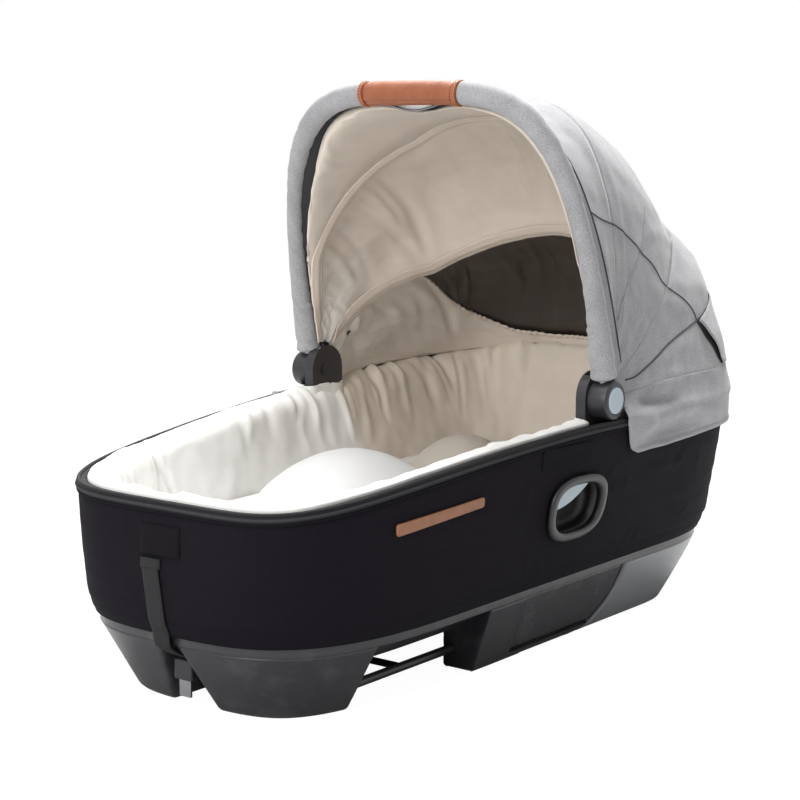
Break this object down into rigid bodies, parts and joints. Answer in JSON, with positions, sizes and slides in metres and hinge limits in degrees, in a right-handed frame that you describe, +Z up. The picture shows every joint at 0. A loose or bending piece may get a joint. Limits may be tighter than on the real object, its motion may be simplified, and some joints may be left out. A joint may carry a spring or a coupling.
{
  "type": "carrycot",
  "caption": "Carrycot with a dark fabric body, light padded lining, grey folding canopy with a leather-covered carrying bow, and a moulded grey base.",
  "frame": {"origin": "middle of the footprint, on the surface that the cot stands on", "axes": "+X from the foot end to the head end, +Y to the far side, +Z up"},
  "size_m": [0.891, 0.4746, 0.6437],
  "materials": {
    "base_plastic": "fine matt grain",
    "panel_plastic": "satin",
    "dark_plastic": "satin",
    "button_plastic": "satin",
    "dark_fabric": "plain weave",
    "zip_tape": "piping and zip tape",
    "webbing": "ribbed webbing",
    "canopy_fabric": "two-tone melange weave",
    "lining_fabric": "soft cotton",
    "pad_fabric": "soft jersey",
    "head_pad_fabric": "soft jersey",
    "mesh_fabric": "fine mesh",
    "leather": "smooth, stitched",
    "steel": "satin",
    "foam": "open-cell foam"
  },
  "bodies": {
    "cot": {"base_tray": "base_plastic", "body_pad": "pad_fabric", "canopy_skirt": "canopy_fabric", "dock_crossbar": "dark_plastic", "dock_rail_far": "dark_plastic", "dock_rail_near": "dark_plastic", "foam_base": "foam", "foot_patch": "webbing", "foot_pod_far": "base_plastic", "foot_pod_near": "base_plastic", "foot_strap": "webbing", "handle_bezel_far": "dark_plastic", "handle_bezel_near": "dark_plastic", "handle_cup_far": "base_plastic", "handle_cup_near": "base_plastic", "head_block": "base_plastic", "head_pad": "head_pad_fabric", "hinge_lug_far": "dark_plastic", "hinge_lug_near": "dark_plastic", "hinge_pin_far": "steel", "hinge_pin_near": "steel", "inner_tub": "dark_plastic", "leather_tab_far": "leather", "leather_tab_near": "leather", "liner": "lining_fabric", "mattress": "pad_fabric", "rim_band": "zip_tape", "side_cover": "dark_fabric", "side_panel_far": "panel_plastic", "side_panel_near": "panel_plastic", "side_patch_far": "webbing", "side_patch_near": "webbing", "skid_far": "base_plastic", "skid_near": "base_plastic", "strap_buckle": "dark_plastic", "strap_loop": "webbing", "strap_tongue": "steel", "zip_pull": "steel"},
    "rear_rib": {"rear_rib": "dark_plastic", "canopy_rear": "canopy_fabric", "vent_flap": "canopy_fabric", "vent_mesh": "mesh_fabric"},
    "mid_rib": {"mid_rib": "dark_plastic", "canopy_middle": "canopy_fabric"},
    "bow": {"bow_tube": "steel", "bow_sleeve_near": "canopy_fabric", "bow_sleeve_far": "canopy_fabric", "handle_grip": "leather", "grip_band_near": "leather", "grip_band_far": "leather", "bow_hub_near": "dark_plastic", "bow_hub_far": "dark_plastic", "hub_spring_near": "steel", "hub_spring_far": "steel", "canopy_front": "canopy_fabric"},
    "hinge_button_near": {"hinge_button_near": "button_plastic"},
    "hinge_button_far": {"hinge_button_far": "button_plastic"},
    "release_button_near": {"release_button_near": "button_plastic"},
    "release_button_far": {"release_button_far": "button_plastic"}
  },
  "joints": [
    {"name": "rear_rib_fold", "type": "hinge", "parent": "cot", "child": "rear_rib", "pos_m": [0.048, 0, 0.288], "axis": [0, 1, 0], "range_deg": [0, 26], "deforming": ["canopy_rear", "vent_flap", "vent_mesh"]},
    {"name": "mid_rib_fold", "type": "hinge", "parent": "rear_rib", "child": "mid_rib", "pos_m": [0.048, 0, 0.288], "axis": [0, 1, 0], "range_deg": [0, 31.2], "deforming": ["canopy_middle"]},
    {"name": "bow_fold", "type": "hinge", "parent": "mid_rib", "child": "bow", "pos_m": [0.048, 0, 0.288], "axis": [0, 1, 0], "range_deg": [0, 12.3], "deforming": ["canopy_front"]},
    {"name": "hinge_button_near_press", "type": "slide", "parent": "bow", "child": "hinge_button_near", "axis": [0, 1, 0], "range_m": [0, 0.004], "stiffness_N_per_m": 900, "springref_m": -0.001, "deforming": ["hub_spring_near"]},
    {"name": "release_button_near_press", "type": "slide", "parent": "cot", "child": "release_button_near", "axis": [0, 1, 0], "range_m": [0, 0.005], "stiffness_N_per_m": 800, "springref_m": -0.001},
    {"name": "hinge_button_far_press", "type": "slide", "parent": "bow", "child": "hinge_button_far", "axis": [0, -1, 0], "range_m": [0, 0.004], "stiffness_N_per_m": 900, "springref_m": -0.001, "deforming": ["hub_spring_far"]},
    {"name": "release_button_far_press", "type": "slide", "parent": "cot", "child": "release_button_far", "axis": [0, -1, 0], "range_m": [0, 0.005], "stiffness_N_per_m": 800, "springref_m": -0.001}
  ],
  "couplings": [
    {"joint": "mid_rib_fold", "follows": "rear_rib_fold", "ratio": 1.2},
    {"joint": "bow_fold", "follows": "rear_rib_fold", "ratio": 0.47307}
  ]
}
